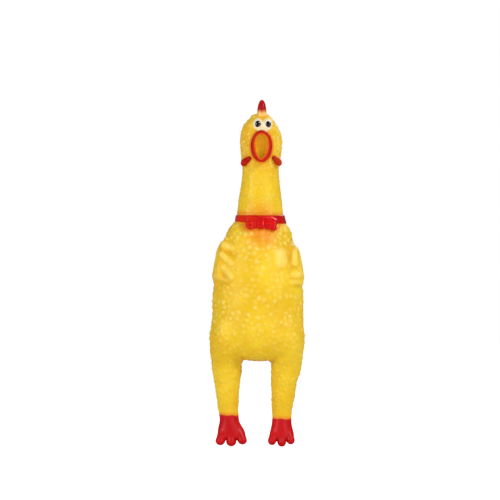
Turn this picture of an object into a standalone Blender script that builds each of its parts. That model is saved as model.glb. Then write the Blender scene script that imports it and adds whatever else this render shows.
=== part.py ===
# Squeaky rubber chicken, 170 mm from toe tips to comb tip.
#
# A thin hollow soft-vinyl moulding, split where it flexes: trunk, two neck
# rings, head, and thigh, shank and foot of each leg.  At every flexing place
# the piece nearer the trunk (legs) or nearer the head (neck) ends in a hollow
# ball, and its neighbour's open end fits round that ball, so a bend never
# jams.  Belly and back are panels that press inwards and blow air through
# the squeaker in the neck root.
#
# Metres, +Z up, face towards -Y.  Heights below are millimetres above the
# toe tips; the origin is at the hand grip, in the middle of the trunk.

import math

import bmesh
import bpy
from mathutils import Matrix, Vector

# ----------------------------------------------------------------- dimensions
MM = 0.001
LENGTH = 170.0            # toe tips to comb tip
GRIP_HEIGHT = 76.0        # origin: hand grip, middle of the trunk
GAP = 0.30                # clearance kept between neighbouring solids
BALL_GAP = 0.35           # clearance round a ball end
WALL = 1.6                # vinyl wall

# flexing places: height of the centre, ball radius
NECK_LEAN = (118.0, 10.2)     # trunk to lower neck, bends fore and aft
NECK_SWAY = (127.0, 9.5)      # lower to upper neck, bends sideways
HEAD_NOD = (135.5, 8.2)       # upper neck to head, nods
HIP = (38.5, 7.1)             # trunk to thigh, splays sideways
KNEE = (26.5, 5.8)            # thigh to shank, bends fore and aft
ANKLE = (15.5, 4.6)           # shank to foot, bends fore and aft
HIP_X = 14.3
KNEE_X = 13.6
ANKLE_X = 13.0
FOOT_X = 12.6

# trunk: height, half width, half depth, centre in y
TRUNK = [
    (41.8, 17.0, 8.5, -0.3), (43.4, 21.4, 12.5, -0.4), (46.0, 22.6, 15.0, -0.5),
    (50.0, 23.1, 16.6, -0.7), (55.5, 23.1, 17.6, -1.0), (63.0, 22.5, 18.0, -1.2),
    (71.0, 22.1, 18.0, -1.2), (79.0, 21.5, 17.6, -1.1), (86.0, 20.8, 17.0, -0.9),
    (93.0, 19.6, 16.2, -0.7), (98.0, 18.0, 15.3, -0.5), (102.0, 16.6, 14.5, -0.3),
    (105.5, 15.4, 13.7, -0.2), (108.0, 14.3, 12.9, -0.1), (109.4, 12.9, 12.0, 0.0),
]
NECK_STUB_R = 10.8
NECK_STUB_BORE = 9.0

# head: height, half width, half depth, centre in y
HEAD = [
    (135.5, 8.2, 8.2, 0.0), (137.3, 9.0, 9.0, -0.2), (140.0, 9.7, 10.0, -0.5),
    (144.5, 10.0, 10.6, -0.8), (151.5, 10.0, 10.6, -0.8), (154.8, 9.5, 10.2, -0.7),
    (157.0, 8.7, 9.4, -0.5), (158.8, 7.6, 8.3, -0.3), (160.4, 6.0, 6.8, 0.0),
    (161.6, 4.0, 4.6, 0.2), (162.2, 2.0, 2.4, 0.3),
]

# mouth: a leaning egg, point down
MOUTH_H = 147.5
MOUTH_HALF_W = 3.35       # clear opening
MOUTH_HALF_H = 6.15
LIP_HALF_W = 5.4
LIP_HALF_H = 7.85
MUZZLE_END_Y = -13.6      # lip sits in front of this
EGG = 0.20                # how far the widest place lies above the middle

COLLAR = (109.8, 113.7)   # band, lower and upper edge
COLLAR_R = (11.15, 12.25)

EYE = (2.55, -7.4, 158.2)
EYE_R = (2.2, 2.3, 2.5)
PUPIL_R = (1.35, 0.9, 1.6)

BELLY = (68.0, 11.5, 18.0)    # press panel: middle height, half width, half height
BACK = (75.0, 10.0, 13.5)
TAIL_H = 51.5


# -------------------------------------------------------------------- helpers
for ob in list(bpy.data.objects):
    bpy.data.objects.remove(ob, do_unlink=True)


def P(x, y, h):
    """Millimetres and height above the toes, to metres round the grip."""
    return Vector((x * MM, y * MM, (h - GRIP_HEIGHT) * MM))


def material(name, rgb, rough=0.4, metal=0.0):
    mat = bpy.data.materials.get(name) or bpy.data.materials.new(name)
    mat.use_nodes = True
    bsdf = mat.node_tree.nodes["Principled BSDF"]
    bsdf.inputs["Base Color"].default_value = (*rgb, 1.0)
    bsdf.inputs["Roughness"].default_value = rough
    bsdf.inputs["Metallic"].default_value = metal
    return mat


YELLOW = material("yellow_vinyl", (0.90, 0.60, 0.06), 0.38)
RED = material("red_vinyl", (0.62, 0.02, 0.02), 0.32)
RIBBON = material("red_ribbon", (0.70, 0.02, 0.03), 0.22)
WHITE = material("eye_white", (0.92, 0.88, 0.80), 0.25)
BLACK = material("eye_black", (0.01, 0.01, 0.01), 0.12)
CLEAR = material("squeaker_plastic", (0.80, 0.82, 0.82), 0.30)


def put(name, bm, mat, smooth=True):
    """Turn a bmesh, already in world metres, into a named object."""
    bmesh.ops.recalc_face_normals(bm, faces=bm.faces)
    if bm.calc_volume(signed=True) < 0:
        bmesh.ops.reverse_faces(bm, faces=bm.faces)
    me = bpy.data.meshes.new(name)
    bm.to_mesh(me)
    bm.free()
    ob = bpy.data.objects.new(name, me)
    bpy.context.scene.collection.objects.link(ob)
    me.materials.append(mat)
    if smooth:
        me.shade_smooth()
        me.set_sharp_from_angle(angle=math.radians(38))
    return ob


def cutter(name, bm):
    ob = put(name, bm, YELLOW, smooth=False)
    ob.hide_render = True
    ob.display_type = 'WIRE'
    return ob


def boolean(ob, other, op):
    mod = ob.modifiers.new(op.lower() + "_" + other.name, 'BOOLEAN')
    mod.operation = op
    mod.solver = 'EXACT'
    mod.object = other
    return mod


def rings_to_mesh(rings, closed=False):
    """Bridge rings of equal count; cap both ends unless closed in a loop."""
    bm = bmesh.new()
    rows = [[bm.verts.new(p) for p in ring] for ring in rings]
    n = len(rows[0])
    pairs = list(zip(rows, rows[1:]))
    if closed:
        pairs.append((rows[-1], rows[0]))
    for a, b in pairs:
        for i in range(n):
            j = (i + 1) % n
            bm.faces.new((a[i], a[j], b[j], b[i]))
    if not closed:
        bm.faces.new(list(reversed(rows[0])))
        bm.faces.new(rows[-1])
    return bm


def loft(sections, grow=0.0, segs=28, squareness=2.0):
    """Stack of ellipses: (height, half width, half depth, centre y)."""
    rings = []
    for h, hx, hy, cy in sections:
        ring = []
        for i in range(segs):
            t = 2 * math.pi * i / segs
            c, s = math.cos(t), math.sin(t)
            e = 2.0 / squareness
            ring.append(P((hx + grow) * math.copysign(abs(c) ** e, c),
                          cy + (hy + grow) * math.copysign(abs(s) ** e, s), h))
        rings.append(ring)
    return rings_to_mesh(rings)


def turned(profile, x=0.0, y=0.0, segs=24):
    """Closed (radius, height) profile turned round the vertical at x, y."""
    rings = []
    for i in range(segs):
        t = 2 * math.pi * i / segs
        rings.append([P(x + r * math.cos(t), y + r * math.sin(t), h) for r, h in profile])
    return rings_to_mesh(rings, closed=True)


def ball_arc(centre, radius, from_r, steps=4):
    """Lower half of a ball as (radius, height) points, hole edge to equator."""
    a0 = math.asin(from_r / radius)
    return [(radius * math.sin(a0 + (math.pi / 2 - a0) * k / steps),
             centre - radius * math.cos(a0 + (math.pi / 2 - a0) * k / steps))
            for k in range(steps + 1)]


def end_round(ball, bore):
    """Height of the open end that fits round a ball, for a given bore."""
    centre, radius = ball
    return centre - math.sqrt((radius + BALL_GAP) ** 2 - bore ** 2)


def ellipsoid(x, y, h, rx, ry, rz, u=14, v=8, turn=None):
    bm = bmesh.new()
    bmesh.ops.create_uvsphere(bm, u_segments=u, v_segments=v, radius=1.0)
    m = Matrix.Diagonal((rx * MM, ry * MM, rz * MM, 1.0))
    if turn is not None:
        m = turn @ m
    m = Matrix.Translation(P(x, y, h)) @ m
    bmesh.ops.transform(bm, matrix=m, verts=bm.verts)
    return bm


def rod_y(cx, ch, hx, hz, y0, y1, segs=28):
    """Elliptical bar along Y."""
    rings = []
    for y in (y0, y1):
        rings.append([P(cx + hx * math.cos(2 * math.pi * i / segs), y,
                        ch + hz * math.sin(2 * math.pi * i / segs)) for i in range(segs)])
    return rings_to_mesh(rings)


def rod_z(x, y, r, h0, h1, segs=24):
    rings = []
    for h in (h0, h1):
        rings.append([P(x + r * math.cos(2 * math.pi * i / segs),
                        y + r * math.sin(2 * math.pi * i / segs), h) for i in range(segs)])
    return rings_to_mesh(rings)


def egg(t, hw, hh):
    """Egg outline, t = 0 at the top, widest place above the middle."""
    return hw * math.sin(t) * (1.0 + EGG * math.cos(t)), hh * math.cos(t)


# ---------------------------------------------------------------------- trunk
trunk = put("trunk_skin", loft(TRUNK, squareness=2.15), YELLOW)

stub = cutter("cut_neck_stub", rod_z(0, 0, NECK_STUB_R, 104.0,
                                     end_round(NECK_LEAN, NECK_STUB_BORE), 28))
boolean(trunk, stub, 'UNION')

for side, tag in ((-1, "left"), (1, "right")):
    h, r = HIP
    ball = [(0.4, h - r)] + [(r * math.sin(a), h - r * math.cos(a))
                             for a in [math.radians(d) for d in (15, 33, 51, 70, 90)]]
    rings = [[P(side * HIP_X + rr * math.cos(2 * math.pi * i / 24),
                rr * math.sin(2 * math.pi * i / 24), hh) for i in range(24)]
             for rr, hh in ball + [(r, 46.0)]]
    boolean(trunk, cutter("cut_hip_" + tag, rings_to_mesh(rings)), 'UNION')

# hollow inside, open through the neck root and through both hip balls
CAVITY = [(h, hx - WALL, hy - WALL, cy) for h, hx, hy, cy in TRUNK if 45.0 < h < 100.0]
CAVITY.append((101.0, NECK_STUB_BORE, NECK_STUB_BORE, 0.0))
boolean(trunk, cutter("cut_cavity", loft(CAVITY, squareness=2.15)), 'DIFFERENCE')
boolean(trunk, cutter("cut_throat", rod_z(0, 0, NECK_STUB_BORE, 99.0, 116.0, 28)), 'DIFFERENCE')
for side, tag in ((-1, "left"), (1, "right")):
    boolean(trunk, cutter("cut_hip_bore_" + tag,
                          rod_z(side * HIP_X, 0, 4.6, 28.0, 48.0, 20)), 'DIFFERENCE')

# openings that the belly and back panels press through
for name, (h, hw, hh), y0, y1 in (("belly", BELLY, -30, -4), ("back", BACK, 4, 30)):
    boolean(trunk, cutter("cut_" + name, rod_y(0, h, hw + GAP, hh + GAP, y0, y1)), 'DIFFERENCE')


def press_panel(name, outline, y0, y1):
    """The piece of the trunk wall inside an elliptical outline."""
    ob = put(name, loft(TRUNK, squareness=2.15), YELLOW)
    boolean(ob, cutter("cut_in_" + name,
                       loft([(h, hx - WALL, hy - WALL, cy) for h, hx, hy, cy in TRUNK
                             if 45.0 < h < 100.0], squareness=2.15)), 'DIFFERENCE')
    boolean(ob, cutter("cut_rim_" + name,
                       rod_y(0, *outline, y0, y1)), 'INTERSECT')
    return ob


press_panel("belly_panel", BELLY, -30, -4)
press_panel("back_panel", BACK, 4, 30)

# wings folded on the breast and the tail nub, clear of the trunk wall
trunk_clear = cutter("cut_trunk_clear", loft(TRUNK, grow=GAP, squareness=2.15))
for side, tag in ((-1, "left"), (1, "right")):
    wing = put("wing_" + tag, ellipsoid(side * 17.6, -7.5, 93.0, 3.6, 5.5, 4.6), YELLOW)
    for k, (x, y, h, rx, ry, rz) in enumerate((
            (17.3, -8.5, 87.0, 4.3, 5.5, 5.2), (17.2, -8.6, 81.6, 4.8, 5.2, 3.6),
            (13.6, -12.6, 91.5, 3.8, 3.2, 4.6), (12.8, -13.4, 85.0, 3.6, 3.2, 3.8))):
        lobe = cutter("cut_wing_%s_%d" % (tag, k), ellipsoid(side * x, y, h, rx, ry, rz, 12, 8))
        boolean(wing, lobe, 'UNION')
    boolean(wing, trunk_clear, 'DIFFERENCE')

tail = put("tail_nub", ellipsoid(0, 15.0, TAIL_H, 5.5, 6.5, 5.5), YELLOW)
boolean(tail, trunk_clear, 'DIFFERENCE')

# --------------------------------------------------------------- collar, bow
c0, c1 = COLLAR
put("collar_band", turned([(COLLAR_R[0], c0), (COLLAR_R[1] - 0.15, c0), (COLLAR_R[1], c0 + 0.3),
                           (COLLAR_R[1], c1 - 0.3), (COLLAR_R[1] - 0.15, c1), (COLLAR_R[0], c1)],
                          segs=32), RIBBON)


def bow_piece(name, sections):
    """Loft along X: (x, centre y, half depth, centre height, half height)."""
    rings = []
    for x, cy, hy, ch, hh in sections:
        rings.append([P(x, cy + hy * math.cos(2 * math.pi * i / 12),
                        ch + hh * math.sin(2 * math.pi * i / 12)) for i in range(12)])
    return put(name, rings_to_mesh(rings), RIBBON)


BOW_Y = -14.6
for side, tag in ((-1, "left"), (1, "right")):
    bow_piece("bow_loop_" + tag, [
        (side * 2.2, BOW_Y, 0.7, 110.4, 1.7), (side * 3.4, BOW_Y + 0.1, 1.2, 110.2, 2.9),
        (side * 5.2, BOW_Y + 0.2, 1.5, 110.0, 3.7), (side * 6.8, BOW_Y + 0.3, 1.4, 109.9, 3.5),
        (side * 7.6, BOW_Y + 0.4, 0.8, 109.9, 2.2)])
bow_piece("bow_knot", [
    (-1.75, BOW_Y, 0.7, 110.4, 1.4), (-1.2, BOW_Y, 1.6, 110.4, 2.4),
    (1.2, BOW_Y, 1.6, 110.4, 2.4), (1.75, BOW_Y, 0.7, 110.4, 1.4)])

# ----------------------------------------------------------------------- neck
# lower neck: ball in the trunk's neck root, open end round the upper neck's ball
lean_h, lean_r = NECK_LEAN
sway_h, sway_r = NECK_SWAY
nod_h, nod_r = HEAD_NOD
bore = 7.9
top = end_round(NECK_SWAY, bore)
put("neck_lower_skin", turned(
    ball_arc(lean_h, lean_r, 6.4) + [(9.7, top), (bore, top)] +
    [(bore, lean_h), (6.4, lean_h - 5.4)]), YELLOW)

# upper neck: ball in the lower neck, open end round the head's ball
bore = 6.5
top = end_round(HEAD_NOD, bore)
put("neck_upper_skin", turned(
    ball_arc(sway_h, sway_r, 5.4) + [(8.7, top), (bore, top)] +
    [(bore, sway_h - 1.0), (5.4, sway_h - 5.0)]), YELLOW)

# ----------------------------------------------------------------------- head
head = put("head_skin", loft(HEAD), YELLOW)
# ball under the head, in the upper neck
ball = [(0.4, nod_h - nod_r)] + [(nod_r * math.sin(a), nod_h - nod_r * math.cos(a))
                                 for a in [math.radians(d) for d in (15, 30, 45, 60, 75)]]
ball += [(nod_r, nod_h), (nod_r - 0.1, nod_h + 1.5)]
rings = [[P(r * math.cos(2 * math.pi * i / 28), r * math.sin(2 * math.pi * i / 28), h)
          for i in range(28)] for r, h in ball]
boolean(head, cutter("cut_head_ball", rings_to_mesh(rings)), 'UNION')
# muzzle: egg-shaped spout that carries the lip
rings = []
for y, k in ((-4.0, 1.16), (-9.5, 1.10), (MUZZLE_END_Y, 0.97)):
    ring = []
    for i in range(28):
        ex, ez = egg(2 * math.pi * i / 28, LIP_HALF_W * k, LIP_HALF_H * k)
        ring.append(P(ex, y - 0.12 * ez, MOUTH_H + ez))
    rings.append(ring)
boolean(head, cutter("cut_muzzle", rings_to_mesh(rings)), 'UNION')
# hollow inside, open at the ball and at the mouth
HEAD_CAVITY = [(h, hx - WALL, hy - WALL, cy) for h, hx, hy, cy in HEAD if h < 160.0]
boolean(head, cutter("cut_head_cavity", loft(HEAD_CAVITY[1:])), 'DIFFERENCE')
boolean(head, cutter("cut_head_throat", rod_z(0, 0, 5.0, 120.0, 145.0, 24)), 'DIFFERENCE')
rings = []
for y in (0.0, -20.0):
    ring = []
    for i in range(28):
        ex, ez = egg(2 * math.pi * i / 28, MOUTH_HALF_W, MOUTH_HALF_H)
        ring.append(P(ex, y, MOUTH_H + ez))
    rings.append(ring)
boolean(head, cutter("cut_mouth", rings_to_mesh(rings)), 'DIFFERENCE')

# lip: rounded egg ring in front of the muzzle
LIP_SECTION = ((1.0, 0.0), (0.98, -1.3), (0.80, -2.1), (0.45, -2.3), (0.12, -1.9), (0.0, 0.0))
rings = []
for i in range(32):
    t = 2 * math.pi * i / 32
    ring = []
    for k, dy in LIP_SECTION:
        hw = MOUTH_HALF_W + (LIP_HALF_W - MOUTH_HALF_W) * k
        hh = MOUTH_HALF_H + (LIP_HALF_H - MOUTH_HALF_H) * k
        ex, ez = egg(t, hw, hh)
        ring.append(P(ex, MUZZLE_END_Y - GAP - 0.12 * ez + dy, MOUTH_H + ez))
    rings.append(ring)
put("mouth_rim", rings_to_mesh(rings, closed=True), RED)

head_clear = cutter("cut_head_clear", loft(HEAD, grow=GAP))

# comb: a fin from front to back with three points, thick at its root
COMB = [(-5.6, 161.0), (-5.0, 163.0), (-3.4, 165.2), (-2.0, 166.0), (-0.9, 167.6), (0.4, 170.0),
        (1.8, 168.0), (2.9, 165.4), (4.2, 166.2), (5.4, 166.6), (6.5, 164.2), (7.0, 161.5)]
rings = []
for y, ht in COMB:
    ring = []
    low = 156.0
    for f in (0.0, 0.45, 0.8, 1.0):
        h = low + (ht - low) * f
        ring.append((0.5 + 2.2 * max(0.0, min(1.0, (170.0 - h) / 9.5)), h))
    right = [P(r, y, h) for r, h in ring]
    left = [P(-r, y, h) for r, h in reversed(ring)]
    rings.append(right + left)
comb = put("comb", rings_to_mesh(rings), RED)
boolean(comb, head_clear, 'DIFFERENCE')

for side, tag in ((-1, "left"), (1, "right")):
    # ear wattle: a small sausage, outer end lower
    turn = Matrix.Rotation(side * math.radians(38), 4, 'Y')
    wattle = put("wattle_" + tag, ellipsoid(side * 7.8, -6.7, 139.9, 2.6, 1.6, 1.45, turn=turn), RED)
    boolean(wattle, head_clear, 'DIFFERENCE')
    # eye: white bead set into the head, black pupil on its front
    ex, ey, eh = EYE
    white = put("eye_white_" + tag, ellipsoid(side * ex, ey, eh, *EYE_R), WHITE)
    boolean(white, head_clear, 'DIFFERENCE')
    pupil = put("pupil_" + tag, ellipsoid(side * (ex + 0.05), ey - 1.9, eh, *PUPIL_R, u=12, v=6), BLACK)
    boolean(pupil, cutter("cut_eye_" + tag, ellipsoid(side * ex, ey, eh, EYE_R[0] + GAP,
                                                      EYE_R[1] + GAP, EYE_R[2] + GAP)), 'DIFFERENCE')

# ----------------------------------------------------------------------- legs
hip_h, hip_r = HIP
knee_h, knee_r = KNEE
ankle_h, ankle_r = ANKLE
for side, tag in ((-1, "left"), (1, "right")):
    # thigh: open end round the hip ball, ball in the shank
    bore = 4.7
    top = end_round(HIP, bore)
    rings = []
    profile = ball_arc(knee_h, knee_r, 3.4) + [(6.2, top), (bore, top), (4.2, knee_h), (3.4, knee_h - 3.4)]
    for i in range(24):
        t = 2 * math.pi * i / 24
        ring = []
        for r, h in profile:
            f = max(0.0, min(1.0, (h - knee_h) / (hip_h - knee_h)))
            cx = KNEE_X + (HIP_X - KNEE_X) * f
            ring.append(P(side * cx + r * math.cos(t), r * math.sin(t), h))
        rings.append(ring)
    put("thigh_" + tag, rings_to_mesh(rings, closed=True), YELLOW)

    # shank: open end round the knee ball, ball in the foot
    bore = 3.9
    top = end_round(KNEE, bore)
    rings = []
    profile = ball_arc(ankle_h, ankle_r, 2.6) + [(5.2, top), (bore, top), (3.2, ankle_h), (2.6, ankle_h - 2.6)]
    for i in range(24):
        t = 2 * math.pi * i / 24
        ring = []
        for r, h in profile:
            f = max(0.0, min(1.0, (h - ankle_h) / (knee_h - ankle_h)))
            cx = ANKLE_X + (KNEE_X - ANKLE_X) * f
            ring.append(P(side * cx + r * math.cos(t), r * math.sin(t), h))
        rings.append(ring)
    put("shank_" + tag, rings_to_mesh(rings, closed=True), YELLOW)

    # foot: a flat paddle with three toes, hung on the ankle ball
    # height, half width, half depth, centre x, centre y
    rings = []
    for h, hx, hy, cx, cy in ((12.2, 4.4, 4.2, ANKLE_X, 0.0), (9.8, 5.2, 4.3, ANKLE_X - 0.2, -0.3),
                              (7.0, 6.2, 4.2, FOOT_X, -0.9), (4.6, 6.5, 3.8, FOOT_X, -1.5),
                              (3.0, 5.9, 3.2, FOOT_X, -2.0)):
        rings.append([P(side * cx + hx * math.cos(2 * math.pi * i / 24),
                        cy + hy * math.sin(2 * math.pi * i / 24), h) for i in range(24)])
    foot = put("foot_" + tag, rings_to_mesh(rings), RED)
    for k, (dx, h, rz) in enumerate(((-4.5, 3.6, 3.0), (0.0, 3.6, 3.6), (4.5, 3.6, 3.0))):
        toe = cutter("cut_toe_%s_%d" % (tag, k), ellipsoid(side * FOOT_X + dx, -2.4, h, 2.2, 3.2, rz, 12, 8))
        boolean(foot, toe, 'UNION')
    boolean(foot, cutter("cut_ankle_ball_" + tag, ellipsoid(
        side * ANKLE_X, 0, ankle_h, ankle_r + BALL_GAP, ankle_r + BALL_GAP, ankle_r + BALL_GAP, 20, 12)), 'DIFFERENCE')

# ------------------------------------------------------------------- squeaker
# A plastic whistle pressed into the neck root: a flanged tube, a reed bed with
# a slot, a thin reed tongue over the slot, and a ring that clamps them.
SQ_TOP = 107.6
SQ_BOTTOM = 97.5
put("squeaker_housing", turned([(6.9, SQ_BOTTOM), (8.0, SQ_BOTTOM), (8.0, SQ_TOP - 1.6),
                                (8.7, SQ_TOP - 1.2), (8.7, SQ_TOP), (6.9, SQ_TOP)], segs=28), CLEAR)

bed = put("squeaker_reed_bed", rod_z(0, 0, 6.6, 98.4, 102.4, 24), CLEAR, smooth=False)
slot = bmesh.new()
bmesh.ops.create_cube(slot, size=1.0, matrix=Matrix.Translation(P(0, 0, 100.4)) @
                      Matrix.Diagonal((3.6 * MM, 8.0 * MM, 9.0 * MM, 1.0)))
boolean(bed, cutter("cut_reed_slot", slot), 'DIFFERENCE')

tongue = bmesh.new()
bmesh.ops.create_cube(tongue, size=1.0, matrix=Matrix.Translation(P(0, 0, 103.0)) @
                      Matrix.Diagonal((4.4 * MM, 10.0 * MM, 0.35 * MM, 1.0)))
put("squeaker_reed", tongue, CLEAR, smooth=False)

cap = put("squeaker_clamp_ring", turned([(4.9, 103.9), (6.6, 103.9), (6.6, 106.6), (4.9, 106.6)],
                                        segs=24), CLEAR)

# ------------------------------------------------------------- joint markers
# Empties on the flexing axes, each the parent of what moves there.


def pivot(name, at, kids):
    e = bpy.data.objects.new(name, None)
    e.location = at
    bpy.context.scene.collection.objects.link(e)
    bpy.context.view_layer.update()
    for kid in kids:
        ob = bpy.data.objects[kid]
        ob.parent = e
        ob.matrix_parent_inverse = e.matrix_world.inverted()
    return e


lean = pivot("pivot_neck_lean", P(0, 0, lean_h), ["neck_lower_skin"])
sway = pivot("pivot_neck_sway", P(0, 0, sway_h), ["neck_upper_skin"])
nod = pivot("pivot_head_nod", P(0, 0, nod_h),
            ["head_skin", "mouth_rim", "comb", "wattle_left", "wattle_right",
             "eye_white_left", "eye_white_right", "pupil_left", "pupil_right"])
for side, tag in ((-1, "left"), (1, "right")):
    pivot("pivot_hip_" + tag, P(side * HIP_X, 0, hip_h), ["thigh_" + tag])
    pivot("pivot_knee_" + tag, P(side * KNEE_X, 0, knee_h), ["shank_" + tag])
    pivot("pivot_ankle_" + tag, P(side * ANKLE_X, 0, ankle_h), ["foot_" + tag])
pivot("pivot_reed", P(0, -4.6, 102.9), ["squeaker_reed"])
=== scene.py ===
import math

import bmesh
import bpy
import numpy as np
import openvdb as vdb
from mathutils import Matrix, Vector, kdtree


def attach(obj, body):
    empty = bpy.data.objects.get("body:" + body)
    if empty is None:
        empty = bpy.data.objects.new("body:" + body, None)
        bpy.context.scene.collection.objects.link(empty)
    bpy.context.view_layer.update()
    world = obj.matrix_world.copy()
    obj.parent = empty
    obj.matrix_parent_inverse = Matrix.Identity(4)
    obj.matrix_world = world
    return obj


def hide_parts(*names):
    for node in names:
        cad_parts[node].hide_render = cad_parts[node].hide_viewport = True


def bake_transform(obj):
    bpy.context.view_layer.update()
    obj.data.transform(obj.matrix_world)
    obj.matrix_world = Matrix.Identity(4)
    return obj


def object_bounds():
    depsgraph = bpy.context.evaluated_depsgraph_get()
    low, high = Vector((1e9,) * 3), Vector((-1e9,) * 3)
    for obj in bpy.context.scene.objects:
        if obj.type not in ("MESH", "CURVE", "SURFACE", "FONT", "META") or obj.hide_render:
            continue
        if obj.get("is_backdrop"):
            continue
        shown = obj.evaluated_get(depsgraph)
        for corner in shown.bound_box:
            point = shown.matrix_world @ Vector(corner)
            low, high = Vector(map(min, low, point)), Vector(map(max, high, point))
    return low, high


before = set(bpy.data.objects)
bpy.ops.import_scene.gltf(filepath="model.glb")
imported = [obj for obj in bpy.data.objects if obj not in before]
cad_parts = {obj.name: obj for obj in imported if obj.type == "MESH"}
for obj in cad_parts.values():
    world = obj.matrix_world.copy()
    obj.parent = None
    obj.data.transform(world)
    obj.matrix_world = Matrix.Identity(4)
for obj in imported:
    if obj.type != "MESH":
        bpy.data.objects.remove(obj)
cad_lo, cad_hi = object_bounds()
TOE = cad_lo.z                       # toe tips, the height that everything below counts from
scene = bpy.context.scene
rng = np.random.default_rng(7)

# Shapes are built in millimetres: x to the viewer's right, y away from the
# viewer, h up from the toe tips.  P() brings them into the frame's metres.


def P(co):
    co = np.asarray(co, float)
    out = co * 0.001
    out[..., 2] += TOE
    return out


# ------------------------------------------------------------------ fields
# A solid is the region where a field on a regular grid is below zero.  Fields
# are joined with a rounded minimum, so lobes melt into the body as they do in
# a moulding, and OpenVDB turns the zero surface into quads.

class Field:
    def __init__(self, lo, hi, step, fill=6.0):
        self.lo, self.step = np.array(lo, float), float(step)
        n = np.ceil((np.array(hi, float) - self.lo) / step).astype(int) + 1
        self.axes = [self.lo[i] + step * np.arange(n[i]) for i in range(3)]
        self.f = np.full(tuple(n), fill, np.float32)

    def window(self, lo, hi):
        s = []
        for i in range(3):
            a = max(0, int(math.floor((lo[i] - self.lo[i]) / self.step)))
            b = min(len(self.axes[i]), int(math.ceil((hi[i] - self.lo[i]) / self.step)) + 1)
            s.append(slice(a, max(a + 1, b)))
        x = self.axes[0][s[0]][:, None, None].astype(np.float32)
        y = self.axes[1][s[1]][None, :, None].astype(np.float32)
        h = self.axes[2][s[2]][None, None, :].astype(np.float32)
        return tuple(s), x, y, h

    def add(self, fn, lo, hi, k=0.0):
        s, x, y, h = self.window(lo, hi)
        self.f[s] = smin(self.f[s], fn(x, y, h), k)

    def cut(self, fn, lo, hi, k=0.0):
        s, x, y, h = self.window(lo, hi)
        self.f[s] = -smin(-self.f[s], fn(x, y, h), k)

    def mesh(self):
        grid = vdb.FloatGrid(float(self.f.max()))
        grid.copyFromArray(np.ascontiguousarray(self.f))
        pts, quads = grid.convertToQuads(isovalue=0.0)
        pts = np.asarray(pts, float) * self.step + self.lo
        quads = np.asarray(quads, np.int64)
        a, b, c, d = (pts[quads[:, i]] for i in range(4))
        vol = (np.einsum('ij,ij->i', a, np.cross(b, c)) + np.einsum('ij,ij->i', a, np.cross(c, d))).sum()
        if vol < 0:
            quads = quads[:, ::-1]
        return pts, quads


def smin(a, b, k):
    if k <= 0:
        return np.minimum(a, b)
    t = np.clip(0.5 + 0.5 * (b - a) / k, 0, 1)
    return b * (1 - t) + a * t - k * t * (1 - t)


def ball(cx, cy, ch, rx, ry, rh, tilt=0.0, p=2.0, yaw=0.0):
    """Ellipsoid field; tilt turns it in the front plane, yaw round the vertical."""
    def fn(x, y, h):
        dx, dy, dh = x - cx, y - cy, h - ch
        if yaw:
            c, s = math.cos(yaw), math.sin(yaw)
            dx, dy = dx * c + dy * s, -dx * s + dy * c
        if tilt:
            c, s = math.cos(tilt), math.sin(tilt)
            dx, dh = dx * c + dh * s, -dx * s + dh * c
        r = (np.abs(dx / rx) ** p + np.abs(dy / ry) ** p + np.abs(dh / rh) ** p) ** (1 / p)
        return (r - 1) * min(rx, ry, rh)
    m = max(rx, ry, rh) + 3
    return fn, (cx - m, cy - m, ch - m), (cx + m, cy + m, ch + m)


def soft(values, step, sigma):
    """Gaussian smoothing of a table that is sampled every step."""
    n = int(3 * sigma / step) + 1
    w = np.exp(-0.5 * (np.arange(-n, n + 1) * step / sigma) ** 2)
    w /= w.sum()
    return np.convolve(np.pad(values, n, mode='edge'), w, mode='valid')


def column(axis_h, stations, side=1, p=2.0, q=2.4, low_q=None, top=None, bottom=None, sigma=1.0):
    """Upright loft: stations (h, half width, half depth, centre y, centre x).
    top and bottom are (height where it starts to close, length of the end)."""
    st = np.array([(s + (0.0,) * 5)[:5] for s in stations], float)
    st = st[np.argsort(st[:, 0])]
    step = axis_h[1] - axis_h[0]
    tab = [soft(np.interp(axis_h, st[:, 0], st[:, i]), step, sigma) for i in range(1, 5)]

    def fn(x, y, h):
        rx, ry, cy, cx = (np.interp(h.ravel(), axis_h, t).astype(np.float32)[None, None, :] for t in tab)
        r = (np.abs((x - side * cx) / rx) ** p + np.abs((y - cy) / ry) ** p) ** (1 / p)
        for end, k in ((top, q), (bottom, low_q or q)):
            if end:
                e = np.maximum((h - end[0]) / end[1] if end is top else (end[0] - h) / end[1], 0)
                r = (r ** k + e ** k) ** (1 / k)
        return (r - 1) * np.minimum(rx, ry)
    return fn


MOUTH_X, MOUTH_H = 0.3, 147.0
LIP_W, LIP_H = 5.35, 7.85
CORNER = 1.3                         # how far the mouth's corners lie behind its top and bottom


def opening_half(ez, w=2.95, up=5.65, down=6.0):
    """Half width of the mouth's opening at ez above its middle: broad and
    round at the top, drawn in to a rounded point at the bottom."""
    t = np.clip(ez / np.where(ez > 0, up, down), -1, 1)
    body = np.clip(1 - np.abs((t - 0.25) / np.where(t > 0.25, 0.75, 1.25)) ** np.where(t > 0.25, 2.6, 1.75), 0, 1)
    return w * body ** np.where(t > 0.25, 0.48, 0.62)


def ellipse_radius(x, e, a, b):
    return np.sqrt((x / a) ** 2 + (e / b) ** 2)


def muzzle(a, b, y_front, y_back, flare=0.0):
    def fn(x, y, h):
        e = h - MOUTH_H
        x = x - MOUTH_X
        yy = y + 0.12 * e - CORNER * (x / LIP_W) ** 2
        g = 1 + flare * np.clip((yy - y_front) / 8.0, 0, 1.2)
        d = (ellipse_radius(x, e, a * g, b * g) - 1) * a
        return np.maximum(d, np.maximum(y_front - yy, yy - y_back))
    return fn


def hollow(x, y, h):
    e = h - MOUTH_H
    yy = y + 0.12 * e
    d = (np.abs(x - MOUTH_X) - opening_half(e, 3.3, 6.0, 6.35)) * 0.8
    d = np.maximum(d, np.maximum(e - 6.0, -e - 6.35))
    return np.maximum(d, yy - MOUTH_BACK)


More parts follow.
